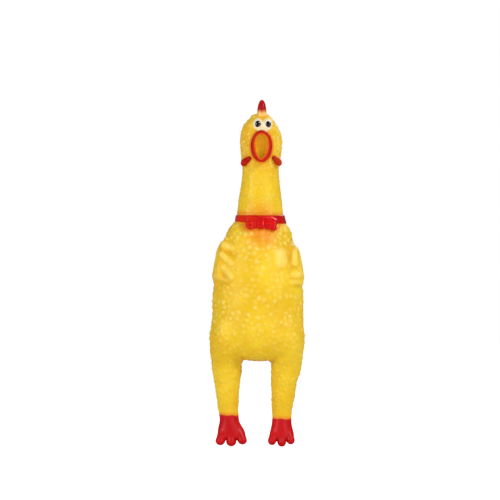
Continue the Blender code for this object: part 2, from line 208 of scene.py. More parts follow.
MOUTH_BACK = -9.5


# ------------------------------------------------------------------- skin
FINE = 0.36
skin = Field((-25, -22, -1.5), (25, 24, 164), FINE)
H = skin.axes[2]
BODY = [
    (50.0, 22.35, 17.6, -1.2, 0.2), (62.0, 22.4, 17.6, -1.2, 0.2), (71.0, 22.15, 17.6, -1.2, 0.1),
    (79.0, 21.7, 17.3, -1.1, 0.0), (86.0, 20.85, 16.7, -0.9, -0.15), (93.0, 19.2, 15.9, -0.7, -0.1),
    (98.0, 17.5, 15.0, -0.5, -0.2), (102.0, 16.5, 14.3, -0.4, -0.1), (105.0, 15.6, 13.6, -0.3, 0.1),
    (107.8, 14.4, 12.8, -0.1, 0.25), (109.4, 12.5, 11.6, 0.0, 0.3), (111.0, 11.6, 11.4, 0.0, 0.3),
    (115.2, 11.15, 11.0, 0.0, 0.25), (118.1, 10.8, 10.7, 0.0, 0.25), (121.0, 10.5, 10.4, 0.0, 0.2),
    (124.0, 10.05, 10.0, 0.0, 0.2), (127.0, 9.65, 9.7, 0.0, 0.2), (130.0, 9.25, 9.4, 0.0, 0.2),
    (133.0, 8.95, 9.2, 0.0, 0.2), (135.4, 8.75, 9.0, -0.1, 0.1), (137.4, 8.9, 9.3, -0.3, 0.1),
    (140.0, 9.4, 9.9, -0.5, 0.1), (144.6, 9.85, 10.4, -0.8, 0.1), (149.0, 10.2, 10.5, -0.8, 0.1),
    (152.0, 10.15, 10.5, -0.8, 0.0),
    (155.0, 10.0, 10.5, -0.8, -0.3), (158.0, 9.85, 10.5, -0.8, -0.4), (160.2, 9.65, 10.5, -0.8, -0.25), (163.0, 9.8, 10.5, -0.8, 0.0)]
skin.add(column(H, BODY, p=2.12, q=2.05, low_q=2.7, top=(149.6, 13.2), bottom=(60.5, 18.3), sigma=0.9),
         (-25, -22, -2), (25, 24, 165))

LEG = [
    (3.0, 5.6, 2.9, -2.1, 12.3), (5.0, 6.3, 3.3, -1.8, 12.3), (7.0, 6.2, 3.7, -1.2, 12.4),
    (9.5, 5.4, 4.1, -0.7, 12.6), (12.0, 4.8, 4.4, -0.3, 12.8), (15.2, 4.7, 4.6, 0.0, 13.0),
    (18.1, 4.95, 4.9, 0.0, 13.2), (22.5, 5.35, 5.4, 0.0, 13.4), (25.5, 5.75, 5.9, 0.0, 13.6),
    (28.4, 5.9, 6.2, 0.0, 13.8), (32.8, 6.38, 6.7, -0.1, 14.05), (35.8, 6.98, 7.3, -0.2, 14.25),
    (40.2, 7.4, 8.6, -0.4, 14.6), (45.0, 7.9, 10.6, -1.0, 14.8), (50.0, 8.2, 12.4, -1.8, 14.9),
    (55.0, 8.2, 13.4, -2.6, 14.8), (62.0, 7.4, 12.6, -3.2, 14.4)]
# the two feet are not alike: middle of the toes, spread of the toes
FEET = {-1: (-11.6, 1.10), 1: (13.1, 0.97)}
for side in (-1, 1):
    mid, wide = FEET[side]
    leg = [(a, b * (wide if a < 11 else 1), c, d,
            e - side * (0.3 if 16 < a < 34 else 0) if a > 13 else e + (side * mid - 12.4) * (1 - max(0, a - 7) / 6.0))
           for a, b, c, d, e in LEG]
    skin.add(column(H, leg, side=side, p=2.05, q=2.2, top=(50.0, 18.0), bottom=(5.6, 2.6), sigma=0.8),
             (-25, -22, -2) if side < 0 else (1, -22, -2), (-1, 24, 72) if side < 0 else (25, 24, 72), k=2.0)
    # toes: three rounded fingers, the middle one lowest, with clear notches between them
    ends = (2.6, 2.3, 3.1) if side < 0 else (3.15, 2.6, 3.6)
    for dx, base, end, r in ((-4.9, 8.0, ends[0], 2.15), (0.0, 8.0, ends[1], 2.25), (4.9 if side < 0 else 4.5, 8.0, ends[2], 2.10)):
        for i in range(6):
            u = i / 5
            skin.add(*ball(mid + wide * dx * (0.66 + 0.34 * u), -1.4 - 1.6 * u, base + (end - base) * u,
                           r * wide, r * 1.15, r), k=0.35)

# tail nub at the back, and the crease above it
skin.add(*ball(0, 15.4, 51.5, 4.8, 5.6, 4.9), k=3.0)
skin.add(*ball(0, 18.6, 53.5, 2.6, 2.7, 2.4), k=1.2)

# the shoulder masses of the folded wings; their feathers come as relief below
for cx, cy, ch, rx, ry, rh, tilt, p in (
        (-17.1, -5.5, 92.9, 3.65, 6.5, 8.8, -0.14, 2.0), (-18.2, -5.0, 86.0, 3.7, 6.8, 6.6, -0.10, 2.0),
        (-19.0, -4.5, 83.2, 3.3, 6.3, 4.2, 0.10, 2.0),
        (17.1, -5.5, 91.7, 3.5, 6.5, 7.3, 0.14, 2.6), (18.3, -5.0, 85.4, 3.6, 6.6, 6.2, 0.12, 2.0),
        (18.8, -4.5, 82.3, 3.2, 6.0, 4.0, -0.15, 2.0)):
    skin.add(*ball(cx, cy, ch, rx, ry, rh, tilt=tilt, p=p), k=1.4)

# muzzle, brow mound, mouth hollow
skin.add(muzzle(5.1, 7.6, -13.7, -4.0, flare=0.22), (-10, -18, 134), (10, -2, 161), k=1.3)
for side in (-1, 1):
    skin.add(*ball(side * 2.4 + 0.7, -6.3, 158.0, 2.7, 2.7, 2.9), k=1.2)
skin.add(*ball(-2.9, -1.0, 160.9, 1.9, 3.4, 1.85), k=1.2)
skin.add(*ball(2.0, -1.0, 161.1, 1.9, 3.4, 1.7), k=1.2)
skin.cut(hollow, (-6, -20, 138), (6, -3, 157), k=0.6)

co, quads = skin.mesh()


# ------------------------------------------------- relief on the skin's surface
def vertex_normals(co, quads):
    a, b, c, d = (co[quads[:, i]] for i in range(4))
    n = np.cross(c - a, d - b)
    out = np.zeros_like(co)
    for i in range(4):
        np.add.at(out, quads[:, i], n)
    return out / np.maximum(np.linalg.norm(out, axis=1, keepdims=True), 1e-12)


def relax(co, quads, rounds, amount=0.5):
    e = np.concatenate([quads[:, [0, 1]], quads[:, [1, 2]], quads[:, [2, 3]], quads[:, [3, 0]]])
    e = np.unique(np.sort(e, axis=1), axis=0)
    deg = np.bincount(e.ravel(), minlength=len(co))[:, None]
    for i in range(rounds):
        s = np.zeros_like(co)
        np.add.at(s, e[:, 0], co[e[:, 1]])
        np.add.at(s, e[:, 1], co[e[:, 0]])
        lap = s / deg - co
        co = co + lap * (amount if i % 2 == 0 else -amount * 1.04)
    return co


def ramp(v, a, b):
    t = np.clip((v - a) / (b - a), 0, 1)
    return t * t * (3 - 2 * t)


co = relax(co, quads, 6, 0.45)
x, y, h = co.T
ax = np.abs(x)

# Feathers: tapered rounded bars (x, h, radius at each end, height), drawn in
# the front plane and raised along the surface's normals.
FEATHERS = (
    (-17.6, 98.8, 2.1, -13.6, 97.2, 2.2, 0.95), (-18.4, 94.2, 2.0, -13.4, 89.6, 2.1, 0.95),
    (-16.6, 87.8, 2.3, -13.0, 82.8, 2.0, 0.95), (-19.6, 95.0, 2.4, -21.0, 86.0, 2.8, 0.25),
    (-21.0, 83.2, 1.9, -15.4, 81.2, 1.6, 0.50),
    (10.8, 94.4, 3.7, 11.3, 91.2, 3.9, 0.75), (17.5, 96.0, 1.9, 17.6, 90.2, 2.0, 1.00),
    (17.6, 84.6, 2.2, 20.2, 84.8, 1.9, 0.95), (20.2, 96.0, 1.8, 21.8, 84.6, 1.9, 0.55),
    (16.6, 81.0, 1.4, 20.6, 80.6, 1.5, 0.50))
GROOVES = (
    (-19.0, 96.4, -12.4, 93.4, 0.85, 0.40), (-18.6, 90.6, -14.2, 85.9, 0.85, 0.40),
    (-21.0, 80.4, -14.2, 79.2, 1.0, 0.35), (14.9, 98.0, 15.1, 88.0, 0.8, 0.45),
    (14.4, 87.9, 20.5, 87.7, 0.85, 0.45), (15.6, 79.0, 21.2, 78.8, 0.9, 0.35),
    (-7.2, 40.5, -8.4, 51.5, 1.5, 0.22), (7.6, 40.5, 10.6, 54.0, 1.6, 0.26))


def along(x, h, x0, h0, x1, h1):
    dx, dh = x1 - x0, h1 - h0
    t = np.clip(((x - x0) * dx + (h - h0) * dh) / (dx * dx + dh * dh), 0, 1)
    return t, np.hypot(x - x0 - t * dx, h - h0 - t * dh)


normal = vertex_normals(co, quads)
faces_us = ramp(-normal[:, 1], 0.0, 0.35)
feather = np.zeros(len(co))
wing = np.full(len(co), 9.0)
for x0, h0, r0, x1, h1, r1, up in FEATHERS:
    t, d = along(x, h, x0, h0, x1, h1)
    r = r0 + (r1 - r0) * t
    feather = np.maximum(feather, 0.9 * up * (1 - ramp(d / r, 0.15, 1.2)))
    wing = np.minimum(wing, d - r)
for x0, h0, x1, h1, r, down in GROOVES:
    t, d = along(x, h, x0, h0, x1, h1)
    feather = feather - down * np.exp(-(d / r) ** 2) * (0.4 + 0.6 * np.sin(np.pi * np.clip(t, 0.06, 0.94)))
# the same wings from the side: a leaning oval with three long feathers
side_wing = np.hypot((y + 1.0 - 0.28 * (92.0 - h)) / 8.6, (h - 90.0) / 10.6)
sides = ramp(np.abs(normal[:, 0]), 0.45, 0.8) * (ax > 12) * (h > 70) * (h < 106)
flank = 0.26 * (1 - ramp(side_wing, 0.82, 1.06)) - 0.35 * np.exp(-((side_wing - 1.08) / 0.07) ** 2)
for y0, h0, y1, h1 in ((-7.0, 93.6, 6.2, 81.0), (-5.0, 97.4, 8.0, 86.2), (-8.0, 88.6, 2.6, 79.2)):
    t, d = along(y, h, y0, h0, y1, h1)
    flank = flank - 0.50 * np.exp(-(d / 0.75) ** 2) * (0.35 + 0.65 * np.sin(np.pi * np.clip(t, 0.06, 0.94)))
flank = flank * sides
lumps = 0.10 * np.sin(x * 0.42 + 1.0) * np.sin(h * 0.31 + 0.4) + 0.07 * np.sin(x * 0.77 - h * 0.53 + y * 0.6)
lumps *= ramp(h, 15, 20) * (1 - ramp(h, 104, 110))
raised = feather * faces_us + flank
co = co + normal * (raised + lumps)[:, None]
co = relax(co, quads, 12, 0.45)
normal = vertex_normals(co, quads)
x, y, h = co.T
ax = np.abs(x)


# folds: painted shade, the colour is darkened where the surface is hollow
def hollows(co, quads, normal, rounds, gain):
    e = np.concatenate([quads[:, [0, 1]], quads[:, [1, 2]], quads[:, [2, 3]], quads[:, [3, 0]]])
    deg = np.bincount(e.ravel(), minlength=len(co)).astype(float)
    bend = np.einsum('ij,ij->i', co[e[:, 1]] - co[e[:, 0]], normal[e[:, 1]] - normal[e[:, 0]])
    v = np.zeros(len(co))
    np.add.at(v, e[:, 0], bend)
    np.add.at(v, e[:, 1], bend)
    v /= deg
    for _ in range(rounds):
        s = np.zeros(len(co))
        np.add.at(s, e[:, 0], v[e[:, 1]])
        np.add.at(s, e[:, 1], v[e[:, 0]])
        v = 0.35 * v + 0.65 * s / deg
    return np.clip(-v * gain, 0, 1)


# painted shade: how hollow each point is, used to darken the colour there
hollow_shade = hollows(co, quads, normal, 6, 22.0)
smooth_wing = np.maximum((1 - ramp(wing, 0.1, 1.0)) * ramp(faces_us, 0.15, 0.6),
                         (1 - ramp(side_wing, 0.88, 1.04)) * ramp(sides, 0.2, 0.7))
s_mouth = ellipse_radius(x - MOUTH_X, h - MOUTH_H, 5.4, 7.85)
front = (y < -2) & (h > 134)
smooth_mouth = np.where(front, 1 - ramp(s_mouth, 1.06, 1.28), 0)
eye_d = np.sqrt((np.abs(x - 0.7) - 2.4) ** 2 + ((h - 157.9) * 0.8) ** 2)
smooth_eye = np.where(front, 1 - ramp(eye_d, 2.2, 3.2), 0)
smooth_foot = 1 - ramp(h, 13.6, 15.6)

amp = np.interp(h, [14, 18, 40, 50, 60, 70, 80, 86, 92, 104, 108, 112, 116, 134, 138, 146, 160],
                [0.10, 0.20, 0.24, 0.28, 0.36, 0.38, 0.24, 0.34, 0.44, 0.44, 0.30, 0.10, 0.19, 0.21, 0.28, 0.36, 0.32])
amp = np.where(np.abs(normal[:, 0]) > 0.8, np.maximum(amp, 0.26 * (h < 108) * (h > 18)), amp)
pitch = np.interp(h, [14, 30, 45, 60, 82, 90, 106, 112, 116, 134, 139],
                  [2.1, 2.4, 2.5, 2.6, 2.8, 2.85, 2.8, 2.4, 2.1, 2.05, 1.9])
amp *= (1 - smooth_wing * 0.96) * (1 - smooth_mouth) * (1 - smooth_eye) * (1 - smooth_foot)

# centres of the pimples: an even random spread, then one round of relaxing
order = rng.permutation(len(co))
cell = 3.6
grid = {}
centres = []
for i in order:
    r = pitch[i] * 0.86
    c = co[i]
    key = (int(c[0] // cell), int(c[1] // cell), int(c[2] // cell))
    ok = True
    for a in (-1, 0, 1):
        for b in (-1, 0, 1):
            for d in (-1, 0, 1):
                for j in grid.get((key[0] + a, key[1] + b, key[2] + d), ()):
                    q = centres[j]
                    if (q[0] - c[0]) ** 2 + (q[1] - c[1]) ** 2 + (q[2] - c[2]) ** 2 < r * r:
                        ok = False
                        break
                if not ok:
                    break
            if not ok:
                break
        if not ok:
            break
    if ok:
        grid.setdefault(key, []).append(len(centres))
        centres.append(c)
centres = np.array(centres)


def nearest_two(points, targets):
    tree = kdtree.KDTree(len(targets))
    for i, t in enumerate(targets):
        tree.insert(t, i)
    tree.balance()
    idx = np.empty((len(points), 2), np.int64)
    dist = np.empty((len(points), 2))
    for i, p in enumerate(points):
        (_, i1, d1), (_, i2, d2) = tree.find_n(p, 2)
        idx[i] = i1, i2
        dist[i] = d1, d2
    return idx, dist


for _ in range(1):
    idx, dist = nearest_two(co, centres)
    near = dist[:, 0] < 3.2
    s = np.zeros_like(centres)
    n = np.zeros(len(centres))
    np.add.at(s, idx[near, 0], co[near])
    np.add.at(n, idx[near, 0], 1)
    centres = np.where(n[:, None] > 0, s / np.maximum(n, 1)[:, None], centres)
warp = np.stack([np.sin(y * 2.1 + h * 1.7) + np.sin(h * 3.1 + x * 0.9), np.sin(x * 2.3 - h * 1.4) + np.sin(h * 2.7 + y),
                 np.sin(x * 1.9 + y * 2.2) + np.sin(x * 3.3 - h * 0.8)], axis=1)
idx, dist = nearest_two(co + warp * 0.16, centres)
u = 2 * dist[:, 0] / (dist[:, 0] + dist[:, 1] + 1e-9)        # 0 on a pimple, 1 between two
size = rng.uniform(0.30, 1.30, len(centres))[idx[:, 0]]       # they are not all alike
head = ramp(h, 134, 139)                                     # packed on the head, more apart below
reach = rng.uniform(0.26, 0.42, len(centres))[idx[:, 0]]
round_bump = np.exp(-(dist[:, 0] / (reach * pitch)) ** 2)
packed = np.clip(1 - (u / 1.0) ** 2, 0, 1) ** 0.9
dome = round_bump * (1 - head) + (0.45 * round_bump + 0.55 * packed) * head
relief = amp * dome * size * 1.25
co = co + normal * (relief - amp * 0.22)[:, None]
normal = vertex_normals(co, quads)
# painted highlight: pale spots on the tips of the taller pimples, stronger in some height bands than in others
tall = np.clip((size - 0.45) / 0.65, 0, 1) * np.interp(h, [40, 52, 60, 72, 80, 86, 92, 106, 112, 134, 140],
                                                      [0.3, 0.45, 0.9, 0.9, 0.4, 0.7, 1.0, 1.0, 0.5, 0.5, 0.8])
height = np.clip(dome ** 1.1 * tall * np.clip(amp / 0.3, 0, 1), 0, 1)

# --------------------------------------------------------- paint, painted shade and painted highlights, as masks
x, y, h = co.T
ax = np.abs(x)
wobble = 0.35 * np.sin(x * 1.3 + 0.7) + 0.25 * np.sin(y * 1.7 + x * 0.6)
edge = np.where(x > 0, 14.05, 15.25) - 0.02 * (x - np.where(x > 0, 13.0, -13.0))
paint = 1 - ramp(h + wobble * 0.3 - edge, -0.25, 0.25)
inside = np.where(front & (ellipse_radius(x - MOUTH_X, h - MOUTH_H, 4.3, 7.0) < 1), 1.0, 0.0)
# painted highlight: paler colour on the raised wing feathers, and on an oval over the right wing where the key light
# falls
wing_highlight = smooth_wing * np.clip(raised * 1.2, 0, 1) * 0.8 + 0.5 * np.where(y < 0, 1 - ramp(np.hypot((x - 11.0) / 4.4, (h - 93.0) / 5.8), 0.5, 1.1), 0)
# orange tint: on the head it is the moulding's own tone; its fading towards the right and the orange on the left flank
# are painted shade on the side away from the key light
orange_and_side_shade = ramp(h, 134, 140) * (1 - ramp(h, 155, 160)) * 0.75 * (1 - 0.7 * ramp(x, 2, 9)) + 0.35 * ramp(-x, 4, 18) * ramp(h, 60, 90)
low = 1 - ramp(h - MOUTH_H + y * 0.2, -5.5, -1.5)
# warm orange rims where red paint meets the yellow
warm_rims_and_bow_shade = 0.8 * (1 - ramp(np.abs(h - edge), 0.3, 2.0))
warm_rims_and_bow_shade = np.maximum(warm_rims_and_bow_shade, np.where(front, 0.85 * (1 - ramp(s_mouth, 1.02, 1.20)), 0))
warm_rims_and_bow_shade = np.maximum(warm_rims_and_bow_shade, 0.75 * (1 - ramp(np.abs(h - 114.0), 0.3, 2.0)) * (h > 113))
# painted shade: a darker orange patch on the chest under the bow, and a stronger one close round the bow
bow_d = np.sqrt(((x - 0.8) / 11.0) ** 2 + ((h - 107.5) / 13.0) ** 2)
warm_rims_and_bow_shade = np.maximum(warm_rims_and_bow_shade, np.where(y < 0, 0.80 * (1 - ramp(bow_d, 0.28, 1.14)), 0))
bow_d = np.sqrt(((x - 0.8) / 8.6) ** 2 + ((h - 109.0) / 4.4) ** 2)
warm_rims_and_bow_shade = np.maximum(warm_rims_and_bow_shade, np.where(y < 0, 1.0 * (1 - ramp(bow_d, 0.9, 1.45)), 0))
for side in (-1, 1):
    wd = np.sqrt((x - side * 7.9) ** 2 + (h - 139.9) ** 2 + (0.7 * (y + 7.0)) ** 2)
    warm_rims_and_bow_shade = np.maximum(warm_rims_and_bow_shade, 0.6 * (1 - ramp(wd, 1.8, 4.0)))
warm_rims_and_bow_shade = np.maximum(warm_rims_and_bow_shade, 0.5 * (1 - ramp(np.sqrt((ax / 2.6) ** 2 + ((y - 1) / 7.5) ** 2), 0.9, 1.5)) * (h > 157))
eye_d = np.sqrt((np.abs(x - 0.7) - 2.4) ** 2 + ((h - 157.9) * 0.8) ** 2)
bridge = np.sqrt(((x - 0.6) / 2.6) ** 2 + ((h - 156.2) / 2.6) ** 2) * 2.2
cream = np.where(front, 1 - ramp(np.minimum(eye_d, bridge), 1.9, 2.7), 0)
# more painted shade in the valleys between the packed pimples on the head
hollow_shade = np.clip(hollow_shade + 0.45 * (1 - packed) * head * np.clip(amp / 0.3, 0, 1), 0, 1)

ATTRS = {"paint": paint, "inside": inside, "warm_rims_and_bow_shade": warm_rims_and_bow_shade, "cream": cream, "pimple_highlight": height, "hollow_shade": hollow_shade, "low": low,
         "wing_highlight": np.clip(wing_highlight, 0, 1), "orange_and_side_shade": np.clip(orange_and_side_shade, 0, 1)}


# ---------------------------------------------------------------- materials
def attribute(nt, name, kind='Fac'):
    n = nt.nodes.new('ShaderNodeAttribute')
    n.attribute_name = name
    return n.outputs[kind]


def noise(nt, vec, scale, detail=3.0, rough=0.55):
    n = nt.nodes.new('ShaderNodeTexNoise')
    n.inputs['Scale'].default_value = scale
    n.inputs['Detail'].default_value = detail
    n.inputs['Roughness'].default_value = rough
    nt.links.new(vec, n.inputs['Vector'])
    return n.outputs['Fac']


def math_node(nt, op, a, b=None, clamp=False):
    n = nt.nodes.new('ShaderNodeMath')
    n.operation = op
    n.use_clamp = clamp
    for i, v in enumerate((a, b)):
        if v is None:
            continue
        if isinstance(v, (int, float)):
            n.inputs[i].default_value = v
        else:
            nt.links.new(v, n.inputs[i])
    return n.outputs[0]


def mix(nt, fac, a, b, mode='MIX'):
    n = nt.nodes.new('ShaderNodeMix')
    n.data_type = 'RGBA'
    n.blend_type = mode
    for sock, v in ((n.inputs[0], fac), (n.inputs[6], a), (n.inputs[7], b)):
        if isinstance(v, (int, float)):
            sock.default_value = v
        elif isinstance(v, tuple):
            sock.default_value = (*v, 1.0)
        else:
            nt.links.new(v, sock)
    return n.outputs[2]


def spread(nt, value, lo, hi, to_lo=0.0, to_hi=1.0):
    n = nt.nodes.new('ShaderNodeMapRange')
    n.interpolation_type = 'SMOOTHSTEP'
    n.inputs['From Min'].default_value = lo
    n.inputs['From Max'].default_value = hi
    n.inputs['To Min'].default_value = to_lo
    n.inputs['To Max'].default_value = to_hi
    nt.links.new(value, n.inputs['Value'])
    return n.outputs[0]


def srgb(r, g, b):
    return tuple(((c / 255) / 12.92 if c / 255 <= 0.04045 else ((c / 255 + 0.055) / 1.055) ** 2.4) for c in (r, g, b))


def new_material(name):
    m = bpy.data.materials.new(name)
    m.use_nodes = True
    nt = m.node_tree
    bsdf = nt.nodes['Principled BSDF']
    return m, nt, bsdf


def place_vector(nt, named):
    if named:
        return attribute(nt, "place", 'Vector')
    n = nt.nodes.new('ShaderNodeTexCoord')
    return n.outputs['Object']


def set_soft(bsdf, weight, radius, scale):
    bsdf.inputs['Subsurface Weight'].default_value = weight
    bsdf.inputs['Subsurface Radius'].default_value = radius
    bsdf.inputs['Subsurface Scale'].default_value = scale


def grain(nt, bsdf, vec, scale, strength, distance):
    b = nt.nodes.new('ShaderNodeBump')
    b.inputs['Strength'].default_value = strength
    b.inputs['Distance'].default_value = distance
    nt.links.new(noise(nt, vec, scale, 2.0), b.inputs['Height'])
    nt.links.new(b.outputs['Normal'], bsdf.inputs['Normal'])


def vinyl_skin():
    m, nt, bsdf = new_material("moulded_yellow_vinyl")
    vec = place_vector(nt, True)
    cloudy = noise(nt, vec, 70.0, 3.0)
    fine = noise(nt, vec, 900.0, 3.0)
    col = mix(nt, spread(nt, cloudy, 0.35, 0.68), srgb(236, 190, 22), srgb(244, 206, 40))
    # the head's orange tone, plus painted shade on the left flank
    col = mix(nt, attribute(nt, "orange_and_side_shade"), col, mix(nt, cloudy, srgb(238, 178, 20), srgb(244, 190, 40)))
    # painted highlight on the wings
    col = mix(nt, attribute(nt, "wing_highlight"), col, srgb(252, 216, 96))
    # painted shade in the hollows of the yellow skin
    col = mix(nt, math_node(nt, 'MULTIPLY', attribute(nt, "hollow_shade"), 0.48), col, srgb(228, 170, 14))
    col = mix(nt, spread(nt, fine, 0.55, 0.75, 0.0, 0.12), col, srgb(225, 165, 20))
    # orange rims at the red paint, and painted shade under the bow
    col = mix(nt, attribute(nt, "warm_rims_and_bow_shade"), col, srgb(238, 140, 26))
    # painted highlight on the pimple tips
    col = mix(nt, math_node(nt, 'MULTIPLY', attribute(nt, "pimple_highlight"), 0.70), col, srgb(255, 230, 126))
    col = mix(nt, attribute(nt, "cream"), col, srgb(250, 232, 190))
    mouth = mix(nt, attribute(nt, "low"), srgb(255, 212, 0), srgb(246, 224, 0))
    mouth = mix(nt, spread(nt, cloudy, 0.3, 0.7, 0.0, 0.3), mouth, srgb(246, 200, 0))
    col = mix(nt, attribute(nt, "inside"), col, mouth)
    red = mix(nt, spread(nt, cloudy, 0.35, 0.7), srgb(196, 0, 10), srgb(208, 4, 16))
    # painted shade in the hollows of the red feet
    red = mix(nt, math_node(nt, 'MULTIPLY', attribute(nt, "hollow_shade"), 0.6), red, srgb(160, 4, 10))
    col = mix(nt, attribute(nt, "paint"), col, red)
    nt.links.new(col, bsdf.inputs['Base Color'])
    nt.links.new(spread(nt, fine, 0.3, 0.7, 0.33, 0.44), bsdf.inputs['Roughness'])
    set_soft(bsdf, 0.30, (1.0, 0.45, 0.08), 0.0022)
    bsdf.inputs['Specular IOR Level'].default_value = 0.26
    grain(nt, bsdf, vec, 2600.0, 0.12, 0.00012)
    return m


def red_vinyl(name, base, dark, fade=None, named=True):
    m, nt, bsdf = new_material(name)
    vec = place_vector(nt, named)
    cloudy = noise(nt, vec, 260.0, 3.0)
    col = mix(nt, spread(nt, cloudy, 0.35, 0.7), dark, base)
    if fade:
        col = mix(nt, attribute(nt, "fade"), col, fade)
    nt.links.new(col, bsdf.inputs['Base Color'])
    nt.links.new(spread(nt, cloudy, 0.3, 0.7, 0.26, 0.38), bsdf.inputs['Roughness'])
    bsdf.inputs['Specular IOR Level'].default_value = 0.16
    set_soft(bsdf, 0.12, (1.0, 0.2, 0.05), 0.0012)
    grain(nt, bsdf, vec, 2600.0, 0.10, 0.0001)
    return m


SKIN = vinyl_skin()
COMB = red_vinyl("comb_red", srgb(200, 20, 26), srgb(166, 8, 16), fade=srgb(253, 202, 108))
LIP = red_vinyl("lip_red", srgb(200, 32, 0), srgb(184, 24, 0), fade=srgb(250, 128, 30))
WATTLE = red_vinyl("wattle_red", srgb(196, 26, 4), srgb(176, 12, 0), fade=srgb(232, 110, 30))


def ribbon_material():
    m, nt, bsdf = new_material("glossy_red_band")
    vec = place_vector(nt, False)
    cloudy = noise(nt, vec, 180.0, 3.0)
    streak = noise(nt, vec, 1400.0, 2.0)
    col = mix(nt, spread(nt, cloudy, 0.35, 0.7), srgb(204, 2, 6), srgb(222, 12, 14))
    col = mix(nt, spread(nt, streak, 0.5, 0.8, 0.0, 0.2), col, srgb(176, 8, 12))
    # painted shade in the folds of the bow
    col = mix(nt, math_node(nt, 'MULTIPLY', attribute(nt, "hollow_shade"), 0.85), col, srgb(140, 0, 6))
    # painted light: the band is made more orange towards its left end and darker crimson towards its right end, as the
    # light falls along it
    xyz = nt.nodes.new('ShaderNodeSeparateXYZ')
    nt.links.new(vec, xyz.inputs[0])
    col = mix(nt, spread(nt, xyz.outputs[0], -0.009, 0.001, 0.75, 0.0), col, srgb(222, 44, 4))
    col = mix(nt, spread(nt, xyz.outputs[0], 0.006, 0.010, 0.0, 0.7), col, srgb(180, 2, 4))
    nt.links.new(col, bsdf.inputs['Base Color'])
    nt.links.new(spread(nt, streak, 0.3, 0.7, 0.16, 0.28), bsdf.inputs['Roughness'])
    bsdf.inputs['Specular IOR Level'].default_value = 0.16
    bsdf.inputs['Coat Weight'].default_value = 0.55
    bsdf.inputs['Coat Roughness'].default_value = 0.12
    set_soft(bsdf, 0.08, (1.0, 0.2, 0.1), 0.001)
    grain(nt, bsdf, vec, 1200.0, 0.12, 0.0001)
    return m


RIBBON = ribbon_material()


def eye_material(name, a, b, rough, level, coat):
    m, nt, bsdf = new_material(name)
    vec = place_vector(nt, False)
    n = noise(nt, vec, 700.0, 3.0)
    nt.links.new(mix(nt, spread(nt, n, 0.35, 0.7), a, b), bsdf.inputs['Base Color'])
    nt.links.new(spread(nt, n, 0.3, 0.7, rough, rough + 0.08), bsdf.inputs['Roughness'])
    bsdf.inputs['Specular IOR Level'].default_value = level
    bsdf.inputs['Coat Weight'].default_value = coat
    bsdf.inputs['Coat Roughness'].default_value = 0.04
    return m


WHITE = eye_material("eye_white_gloss", srgb(246, 236, 218), srgb(254, 248, 236), 0.18, 0.4, 0.5)
BLACK = eye_material("pupil_black_gloss", srgb(6, 1, 2), srgb(14, 3, 4), 0.05, 0.9, 1.0)


def clear_plastic():
    m, nt, bsdf = new_material("natural_polyethylene")
    vec = place_vector(nt, False)
    n = noise(nt, vec, 300.0, 3.0)
    nt.links.new(mix(nt, spread(nt, n, 0.3, 0.7), srgb(222, 226, 222), srgb(240, 242, 240)), bsdf.inputs['Base Color'])
    nt.links.new(spread(nt, n, 0.3, 0.7, 0.28, 0.42), bsdf.inputs['Roughness'])
    set_soft(bsdf, 0.4, (0.8, 0.9, 0.9), 0.002)
    grain(nt, bsdf, vec, 900.0, 0.1, 0.0001)
    return m


PLASTIC = clear_plastic()


# ------------------------------------------------------------ mesh to object
def make(name, co, faces, mat, attrs=None, normals=None):
    me = bpy.data.meshes.new(name)
    w = P(co)
    faces = np.asarray(faces, np.int32)
    me.vertices.add(len(w))
    me.vertices.foreach_set("co", w.astype(np.float32).ravel())
    k = faces.shape[1]
    me.loops.add(faces.size)
    me.loops.foreach_set("vertex_index", faces.ravel())
    me.polygons.add(len(faces))
    me.polygons.foreach_set("loop_start", np.arange(0, faces.size, k, dtype=np.int32))
    me.update(calc_edges=True)
    me.validate()
    me.shade_smooth()
    place = me.attributes.new("place", 'FLOAT_VECTOR', 'POINT')
    place.data.foreach_set("vector", w.astype(np.float32).ravel())
    for key, v in (attrs or {}).items():
        a = me.attributes.new(key, 'FLOAT', 'POINT')
        a.data.foreach_set("value", np.asarray(v, np.float32))
    if normals is not None:
        me.normals_split_custom_set_from_vertices(normals.astype(np.float32))
    me.materials.append(mat)
    ob = bpy.data.objects.new(name, me)
    scene.collection.objects.link(ob)
    return ob


# ---------------------------------------------------- skin, split into pieces
# The bulge of the belly and of the back, beyond a plane in front and one
# behind, is split off as a piece of its own.  A piece holds every face
# that touches a point beyond its plane.
BELLY_Y, BACK_Y = -11.6, 11.2
f_min, f_max = co[:, 1][quads].min(axis=1), co[:, 1][quads].max(axis=1)

f_mid = co[quads].mean(axis=1)
fx, fy, fh = f_mid.T


LEG_TOP = 41.6
part = np.full(len(quads), -1)
names = {}


def claim(n, mask):
    names[n] = len(names)
    part[mask & (part < 0)] = names[n]


is_leg = fh < LEG_TOP
for side, tag in ((-1, "left"), (1, "right")):
    mine = is_leg & (fx * side > 0)
    claim("skin_foot_" + tag, mine & (fh < 20.6))
    claim("skin_shank_" + tag, mine & (fh < 31.2))
    claim("skin_thigh_" + tag, mine)
claim("skin_head", fh > 131.4)
claim("skin_neck_upper", fh > 122.6)
claim("skin_neck_lower", fh > 113.0)
claim("skin_belly", f_min < BELLY_Y)
claim("skin_back", f_max > BACK_Y)
claim("skin_trunk", np.ones(len(quads), bool))

